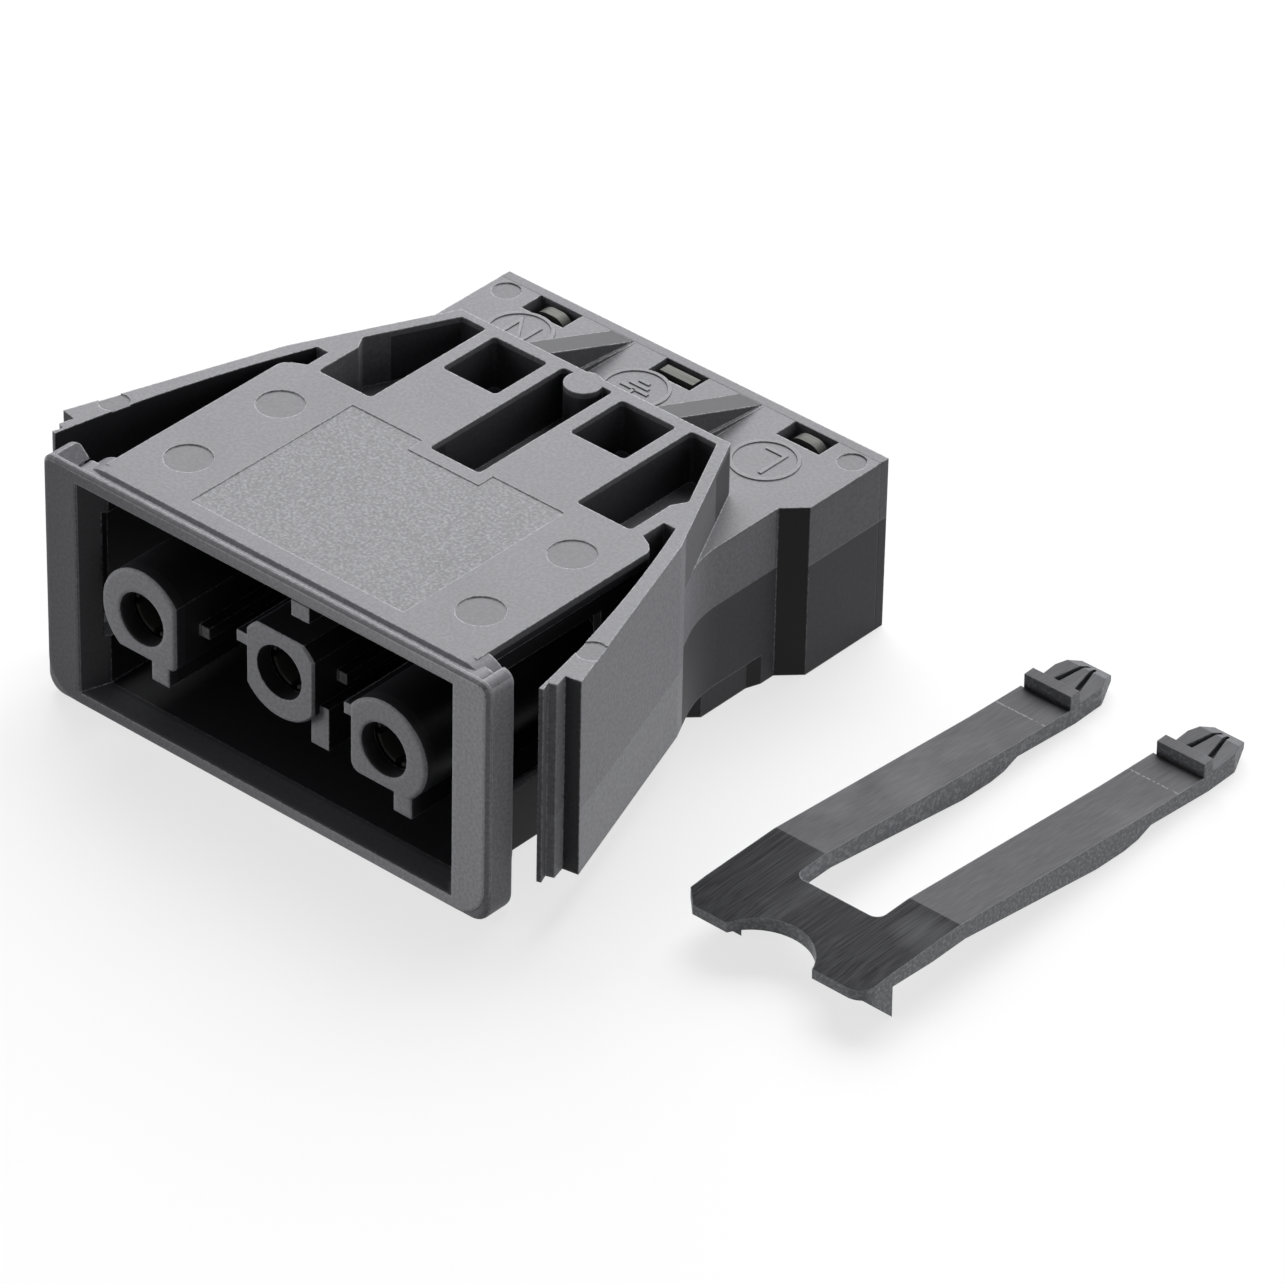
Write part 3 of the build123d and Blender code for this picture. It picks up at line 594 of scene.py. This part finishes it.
ARM_PAINTED_LIGHT_AND_SHADE = (
    # Sides of the arms and of their roots: paler as painted light, and a little less so above the parting
    # line.
    *(
        zone
        for low, tone in ((-10, "#97979c"), (-1.3, "#8a8a8f"))
        for inner, front, rear in (ARM_ROW, ROOT_ROW)
        for zone in both_sides((inner, front, low), (PAST_MM, rear, 10), tone, Facing.UPRIGHT)
    ),
    # Sides of the middle between root and block, paler as painted light, and the steps of the teeth, darker
    # as painted shade.
    *both_sides((13.5, ARM_ROOT_MM, 0.1), (PAST_MM, GUSSET_FRONT_MM, 4.3), "#79797e", Facing.UPRIGHT),
    *both_sides((17.8, 4.0, -10), (PAST_MM, 9.0, 10), "#38383b", Facing.FRONT),
    # Inner sides of the arms, which face the shroud, darker: painted shade.
    Zone((-PAST_MM, 2.6, -10), (-13.2, 22, 10), "#232326", Facing.RIGHT),
    Zone((13.2, 2.6, -10), (PAST_MM, 22, 10), "#232326", Facing.LEFT),
)
POCKET_PAINTED_SHADE = (
    # Painted shade on the floors and walls of the pockets, then on the sides and slopes of the
    # gussets. The box of the walls also takes in a strip of the outside near the rear corners of the
    # middle.
    Zone((-13, 17.5, -9), (13, 33.5, 3.9), "#19191b", Facing.UP),
    Zone((-12.6, 17.0, -9), (12.6, 29.8, 7.7), "#2c2c2f", Facing.UPRIGHT, 0.8),
    Zone((-7, 30.3, 4.45), (7, 38.8, 8), "#3c3c3f", Facing.UPRIGHT, 0.7),
    Zone((-7, 29.9, 4.41), (7, 38.8, 8), "#323235", Facing.SLOPING, 0.9),
)
# Joint between block and cover, where no edge is paler, neither rubbed nor given a painted highlight.
JOINT = Zone(
    (-PAST_MM, COVER_JOINT_MM - JOINT_REACH_MM, -PAST_MM),
    (PAST_MM, COVER_JOINT_MM + JOINT_REACH_MM, PAST_MM),
    "#000000",
)
# Slanted face between the middle and the block, on the right only, nearly black: painted shade.
CORNER_PAINTED_SHADE = Zone((13, 27, -10), (20, 36, 6), "#141416", Facing.FRONT_RIGHT)

# Distance from the middle, place along Y and radius of the shallow round marks of the ejectors.
EJECTOR_MARKS = ((12.0, 6.3, 1.55), (12.0, 14.45, 1.55), (19.6, 7.7, 1.0), (14.35, 37.75, 0.95))
MARK_TONES = tuple(
    Zone((x - size, y - size, 4), (x + size, y + size, 9), "#56565a", Facing.UP, 0.8, is_round=True)
    for right, y, size in EJECTOR_MARKS
    for x in (right, -right)
)


@dataclass(frozen=True)
class Finishes:
    """Every finish on the coupler."""

    housing: MouldedPolyamide = MouldedPolyamide(
        "black_polyamide_moulded",
        body="#626266",
        flow="#67676b",
        edge="#c6c6cb",
        roughness=0.5,
        frosted=FROSTED_FIELD,
        rounded_rim=LIP,
        edges_kept_plain=JOINT,
        zones=(*LOWER_SIDE_SHADE_AND_PARTING_LINE, *FRONT_PAINTED_LIGHT_AND_SHADE, *ARM_PAINTED_LIGHT_AND_SHADE, *POCKET_PAINTED_SHADE, CORNER_PAINTED_SHADE, *MARK_TONES),
    )
    cover: MouldedPolyamide = MouldedPolyamide(
        "black_polyamide_cover",
        body="#5e5e62",
        flow="#646468",
        edge="#c0c0c5",
        roughness=0.52,
        edges_kept_plain=JOINT,
        zones=(*LOWER_SIDE_SHADE_AND_PARTING_LINE, *MARK_TONES),
    )
    marking: MouldedPolyamide = MouldedPolyamide(
        "black_polyamide_raised_mark",
        body="#646468",
        flow="#69696d",
        edge="#b4b4b9",
        roughness=0.45,
        edge_mm=0.04,
    )
    fork: BrushedPolyamide = BrushedPolyamide("black_polyamide_brushed")
    tinned: DrawnMetal = DrawnMetal("tinned_copper_strip", body="#4a4a48", shade="#353533", roughness=0.6)
    steel: DrawnMetal = DrawnMetal("bright_spring_steel", body="#b4b5b7", shade="#929395", roughness=0.28)


def put_on(node: str, material: bpy.types.Material) -> None:
    """Gives a solid of the coupler its finish.

    Args:
        node: Name of the solid.
        material: Finish for every face of it.
    """
    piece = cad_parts[node]
    piece.data.materials.clear()
    piece.data.materials.append(material)
    LOG.info("%s: %s", node, material.name)


def add_piece(name: str, mesh: bmesh.types.BMesh, place: Matrix, material: bpy.types.Material) -> None:
    """Turns a mesh in millimetres into a piece that rides on the coupler.

    Args:
        name: Name of the piece.
        mesh: Mesh, which is used up.
        place: Where the mesh's own frame lies on the coupler, in metres.
        material: Finish of the piece.
    """
    bmesh.ops.recalc_face_normals(mesh, faces=mesh.faces[:])
    data = bpy.data.meshes.new(name)
    mesh.to_mesh(data)
    mesh.free()
    data.transform(place @ Matrix.Scale(MM, 4))
    data.materials.append(material)
    piece = bpy.data.objects.new(name, data)
    bpy.context.collection.objects.link(piece)
    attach(piece, BODY)
    LOG.info("%s: %d faces", name, len(data.polygons))


def skin(mesh: bmesh.types.BMesh, rows: list[list[Any]], closed: bool) -> None:
    """Joins rows of vertices into a tube, with a cap at each end where it is open.

    Args:
        mesh: Mesh to add to.
        rows: Rows with the same number of vertices.
        closed: Whether the last row joins the first.
    """
    following = rows[1:] + rows[:1] if closed else rows[1:]
    for here, there in zip(rows, following):
        for k in range(len(here)):
            n = (k + 1) % len(here)
            mesh.faces.new((here[k], here[n], there[n], there[k]))
    if not closed:
        mesh.faces.new(rows[0])
        mesh.faces.new(rows[-1])


@dataclass
class LipBand:
    """Thick sides and sole of the front lip, which leave the groove along its top open."""

    front_mm: float = 0.06
    rear_mm: float = 2.45
    rounding_mm: float = 0.35
    half_width_mm: float = 18.29
    half_height_mm: float = 8.74
    upper_corner_mm: float = 0.8
    lower_corner_mm: float = 1.3
    inner_half_width_mm: float = 17.09
    inner_half_height_mm: float = 7.84
    inner_corner_mm: float = 0.5
    corner_steps: int = 8
    rounding_steps: int = 4

    def build(self, material: bpy.types.Material) -> None:
        """Makes the band.

        Args:
            material: Finish of the housing.
        """
        outer = self._outline(
            self.half_width_mm, self.half_height_mm, self.upper_corner_mm, self.lower_corner_mm
        )
        inner = self._outline(
            self.inner_half_width_mm, self.inner_half_height_mm, self.inner_corner_mm, self.inner_corner_mm
        )
        mesh = bmesh.new()
        rows = [self._row(mesh, Vector(a), Vector(b)) for a, b in zip(outer, inner)]
        skin(mesh, rows, False)
        add_piece("lip_band", mesh, Matrix.Identity(4), material)

    def _outline(self, half_width: float, half_height: float, upper: float, lower: float) -> list[Point]:
        """Outline from the upper right corner round the sole to the upper left corner.

        Args:
            half_width: Half of the width in millimetres.
            half_height: Half of the height in millimetres.
            upper: Radius of the upper corners.
            lower: Radius of the lower corners.

        Returns:
            Points across and up.
        """
        points = []
        for radius, height, start in ((upper, half_height - upper, 90), (lower, lower - half_height, 0)):
            for i in range(self.corner_steps + 1):
                angle = math.radians(start - 90 * i / self.corner_steps)
                across = half_width - radius + radius * math.cos(angle)
                points.append((across, height + radius * math.sin(angle)))
        return points + [(-x, z) for x, z in reversed(points)]

    def _row(self, mesh: bmesh.types.BMesh, outer: Vector, inner: Vector) -> list[Any]:
        """Section of the band at one place of its outline.

        Args:
            mesh: Mesh to add to.
            outer: Point of the outer outline.
            inner: Point of the inner outline.

        Returns:
            The section's vertices.
        """
        inward = (inner - outer).normalized()
        edge = []
        for i in range(self.rounding_steps + 1):
            angle = math.pi / 2 * i / self.rounding_steps
            depth = self.rounding_mm * (1 - math.sin(angle))
            edge.append((depth, self.rounding_mm * (1 - math.cos(angle))))
        spots = [(outer + inward * depth, self.front_mm + back) for depth, back in edge]
        spots += [(outer + inward * depth, self.rear_mm - back) for depth, back in reversed(edge)]
        spots += [(inner, self.rear_mm), (inner, self.front_mm)]
        return [mesh.verts.new((across.x, y, across.y)) for across, y in spots]


@dataclass
class RaisedMark:
    """Line work that stands a little proud of a face, with sloping sides."""

    name: str
    paths: Sequence[tuple[Sequence[Point], bool]]
    width_mm: float = 0.24
    slope_mm: float = 0.05
    height_mm: float = 0.08
    root_mm: float = 0.03
    sharpest_mitre: float = 0.35

    def build(self, place: Matrix, material: bpy.types.Material) -> None:
        """Makes the mark.

        Args:
            place: Where the mark's own plane lies on the coupler, in metres.
            material: Finish of the mark.
        """
        mesh = bmesh.new()
        for points, closed in self.paths:
            self._sweep(mesh, [Vector(point) for point in points], closed)
        add_piece(self.name, mesh, place, material)

    def _sweep(self, mesh: bmesh.types.BMesh, points: list[Vector], closed: bool) -> None:
        """Runs the mark's section along one path.

        Args:
            mesh: Mesh to add to.
            points: Path in the mark's plane, in millimetres.
            closed: Whether the last point joins the first.
        """
        count = len(points)
        rows = []
        half = self.width_mm / 2
        section = ((half + self.slope_mm, -self.root_mm), (half, self.height_mm))
        for i, point in enumerate(points):
            back = points[(i - 1) % count] if closed or i else point
            ahead = points[(i + 1) % count] if closed or i < count - 1 else point
            first = (point - back).normalized() if back != point else (ahead - point).normalized()
            last = (ahead - point).normalized() if ahead != point else first
            side = (first + last).normalized().orthogonal()
            stretch = 1 / max(self.sharpest_mitre, side.dot(last.orthogonal()))
            row = []
            for sign in (1, -1):
                for reach, height in section if sign > 0 else reversed(section):
                    spot = point + side * (sign * reach * stretch)
                    row.append(mesh.verts.new((spot.x, spot.y, height)))
            rows.append(row)
        skin(mesh, rows, closed)


def ring(radius: float, steps: int = 48) -> tuple[list[Point], bool]:
    """Circle as a closed path.

    Args:
        radius: Radius in millimetres.
        steps: Number of points.

    Returns:
        The path and the word that it is closed.
    """
    turn = 2 * math.pi / steps
    return [(radius * math.cos(i * turn), radius * math.sin(i * turn)) for i in range(steps)], True


class PoleMark(Enum):
    """Generic sign of a pole as strokes in a circle, upright in its own plane."""

    NEUTRAL = (((-0.8, -1.15), (-0.8, 1.15), (0.8, -1.15), (0.8, 1.15)),)
    EARTH = (
        ((0.0, 1.15), (0.0, 0.1)),
        ((-1.1, 0.1), (1.1, 0.1)),
        ((-0.75, -0.4), (0.75, -0.4)),
        ((-0.4, -0.9), (0.4, -0.9)),
    )
    LINE = (((-0.7, 1.3), (-0.7, -1.15), (0.8, -1.15)),)


@dataclass
class CouplerHousing:
    """The moulded housing with its cover and the pole signs on the block."""

    mark_radius_mm: float = 2.15
    marks: dict[PoleMark, Point] = field(
        default_factory=lambda: {
            PoleMark.NEUTRAL: (-10.55, 34.75),
            PoleMark.EARTH: (-0.85, 34.8),
            PoleMark.LINE: (10.3, 34.2),
        }
    )

    def dress(self, finishes: Finishes) -> None:
        """Finishes the housing, its lip and its cover.

        Args:
            finishes: Finishes of the coupler.
        """
        moulded = finishes.housing.build()
        put_on("housing", moulded)
        put_on("rear_cover", finishes.cover.build())
        LipBand().build(moulded)

    def add_marks(self, finishes: Finishes) -> None:
        """Puts the pole signs on the block, to be read from the wire side.

        Args:
            finishes: Finishes of the coupler.
        """
        material = finishes.marking.build()
        from_wire_side = Matrix.Rotation(math.pi, 4, "Z")
        for mark, (x, y) in self.marks.items():
            paths = [ring(self.mark_radius_mm)] + [(stroke, False) for stroke in mark.value]
            place = Matrix.Translation(Vector((x, y, BLOCK_TOP_MM)) * MM) @ from_wire_side
            RaisedMark("pole_mark_" + mark.name.lower(), paths).build(place, material)


@dataclass
class Terminals:
    """Contacts, springs and frames inside the housing."""

    poles: tuple[str, ...] = ("neutral", "earth", "line")

    def dress(self, finishes: Finishes) -> None:
        """Finishes the metal pieces.

        Args:
            finishes: Finishes of the coupler.
        """
        tinned = finishes.tinned.build()
        steel = finishes.steel.build()
        for pole in self.poles:
            put_on(f"contact_{pole}", tinned)
            put_on(f"terminal_frame_{pole}", tinned)
            put_on(f"over_spring_{pole}", steel)
            for side in ("left", "right"):
                put_on(f"clamp_spring_{pole}_{side}", steel)


@dataclass
class LockingFork:
    """The two pronged fork that lies beside the coupler."""

    def dress(self, finishes: Finishes) -> None:
        """Finishes the fork.

        Args:
            finishes: Finishes of the coupler.
        """
        put_on("locking_fork", finishes.fork.build())


def shown_rays(put: Put) -> Any:
    """Finds the rays that show the surroundings: to the camera, in gloss and through glass.

    Args:
        put: Adds a node to the tree.

    Returns:
        Node that is 1 for such a ray.
    """
    path = put("ShaderNodeLightPath").outputs
    gloss = {0: path["Is Glossy Ray"], 1: path["Is Transmission Ray"]}
    mirrored = put("ShaderNodeMath", gloss, operation="MAXIMUM")
    return put("ShaderNodeMath", {0: path["Is Camera Ray"], 1: mirrored}, operation="MAXIMUM")


@dataclass(frozen=True)
class StudioPaper:
    """White paper of the studio table, matt and lit from below."""

    # To the eye it is nearly white and keeps only soft shadows. Light that it throws back onto
    # the coupler comes from a darker grey, so that the black plastic stays dark underneath.
    name: str = "white_studio_paper"
    seen: str = "#dedede"
    bounce: str = "#4a4a4a"
    glow: float = 0.72

    def build(self) -> bpy.types.Material:
        """Makes the material.

        Returns:
            The finished material.
        """
        material = bpy.data.materials.new(self.name)
        put = empty_tree(material)
        paper = put("ShaderNodeBsdfDiffuse", {"Color": linear(self.seen)})
        shade = put("ShaderNodeBsdfDiffuse", {"Color": linear(self.bounce)})
        white = put("ShaderNodeEmission", {"Color": linear(WHITE), "Strength": 1.0})
        lit = put("ShaderNodeMixShader", {"Fac": self.glow, 1: paper, 2: white})
        mixed = put("ShaderNodeMixShader", {"Fac": shown_rays(put), 1: shade, 2: lit})
        put("ShaderNodeOutputMaterial", {"Surface": mixed})
        return material


@dataclass(frozen=True)
class StudioLamp:
    """Soft square lamp that looks at the coupler from a direction in degrees."""

    name: str
    azimuth: float
    elevation: float
    size_m: float
    strength: float
    distance_m: float = 0.6


def direction(azimuth: float, elevation: float) -> Vector:
    """Unit vector from the coupler towards a viewer or a lamp.

    Args:
        azimuth: Degrees, 0 for the mating side and 90 for the right side.
        elevation: Degrees above the floor.

    Returns:
        The unit vector.
    """
    a, e = math.radians(azimuth), math.radians(elevation)
    return Vector((math.sin(a) * math.cos(e), -math.cos(a) * math.cos(e), math.sin(e)))


@dataclass
class Studio:
    """Pale floor, white surroundings and soft lamps."""

    centre_mm: Spot = (9.0, 20.0, 0.0)
    floor_front_mm: float = -8.77
    floor_rise_deg: float = 0.94
    floor_size_m: float = 3.0
    fill: float = 0.02
    lamps: tuple[StudioLamp, ...] = (
        StudioLamp("rear_softbox", 215.0, 48.0, 0.6, 8.3),
        StudioLamp("left_softbox", -45.0, 8.0, 0.45, 1.9),
        StudioLamp("rear_right_softbox", 155.0, 18.0, 0.45, 1.0),
        StudioLamp("right_softbox", 92.0, 8.0, 0.3, 0.34, 0.3),
    )

    def add_floor(self) -> None:
        """Lays the floor in the plane that the coupler rests on."""
        mesh = bmesh.new()
        bmesh.ops.create_grid(mesh, x_segments=1, y_segments=1, size=self.floor_size_m / 2)
        data = bpy.data.meshes.new("floor")
        mesh.to_mesh(data)
        mesh.free()
        tilt = Matrix.Rotation(math.radians(self.floor_rise_deg), 4, "X")
        data.transform(Matrix.Translation((0, 0, self.floor_front_mm * MM)) @ tilt)
        data.materials.append(StudioPaper().build())
        floor = bpy.data.objects.new("floor", data)
        bpy.context.collection.objects.link(floor)

    def add_world(self) -> None:
        """Surrounds the scene with white that is seen and a weak fill that lights."""
        world = bpy.data.worlds.new("studio")
        put = empty_tree(world)
        white = put("ShaderNodeBackground", {"Color": linear(WHITE), "Strength": 1.0})
        weak = put("ShaderNodeBackground", {"Color": linear(WHITE), "Strength": self.fill})
        mixed = put("ShaderNodeMixShader", {"Fac": shown_rays(put), 1: weak, 2: white})
        put("ShaderNodeOutputWorld", {"Surface": mixed})
        bpy.context.scene.world = world

    def add_lamps(self) -> None:
        """Hangs the soft lamps round the coupler."""
        aim = Vector(self.centre_mm) * MM
        for lamp in self.lamps:
            data = bpy.data.lights.new(lamp.name, "AREA")
            data.shape = "SQUARE"
            data.size = lamp.size_m
            data.energy = lamp.strength
            piece = bpy.data.objects.new(lamp.name, data)
            towards = direction(lamp.azimuth, lamp.elevation)
            piece.location = aim + towards * lamp.distance_m
            piece.rotation_mode = "QUATERNION"
            piece.rotation_quaternion = towards.to_track_quat("Z", "Y")
            bpy.context.collection.objects.link(piece)
            LOG.info("lamp %s: %.1f W", lamp.name, lamp.strength)


@dataclass
class PhotoCamera:
    """Camera at the photograph's place, from a fit to the coupler's edges."""

    azimuth: float = 40.69
    elevation: float = 34.88
    roll: float = 1.22
    focal_px: float = 8863.0
    frame_px: float = 1284.0
    distance_mm: float = 532.6
    shift_right_mm: float = -22.86
    shift_up_mm: float = -2.78
    sensor_mm: float = 36.0
    nearest_m: float = 0.01

    def add(self) -> None:
        """Creates the camera and makes it the scene's own."""
        back = direction(self.azimuth, self.elevation)
        turn = math.radians(self.azimuth)
        right = Vector((math.cos(turn), math.sin(turn), 0))
        up = back.cross(right)
        roll = math.radians(self.roll)
        x_axis = math.cos(roll) * right + math.sin(roll) * up
        y_axis = math.cos(roll) * up - math.sin(roll) * right
        place = back * self.distance_mm - x_axis * self.shift_right_mm - y_axis * self.shift_up_mm
        data = bpy.data.cameras.new("photo_camera")
        data.sensor_width = self.sensor_mm
        data.lens = self.sensor_mm * self.focal_px / self.frame_px
        data.clip_start = self.nearest_m
        camera = bpy.data.objects.new("photo_camera", data)
        turned = Matrix((x_axis, y_axis, back)).transposed().to_4x4()
        camera.matrix_world = Matrix.Translation(place * MM) @ turned
        bpy.context.collection.objects.link(camera)
        bpy.context.scene.camera = camera


def main() -> None:
    """Dresses the coupler and sets up the studio."""
    logging.basicConfig(level=logging.INFO, format="%(name)s: %(message)s")
    finishes = Finishes()
    housing = CouplerHousing()
    housing.dress(finishes)
    housing.add_marks(finishes)
    Terminals().dress(finishes)
    LockingFork().dress(finishes)
    studio = Studio()
    studio.add_floor()
    studio.add_world()
    studio.add_lamps()
    PhotoCamera().add()
    bpy.context.scene.view_settings.view_transform = "Standard"


if __name__ == "__main__":
    main()
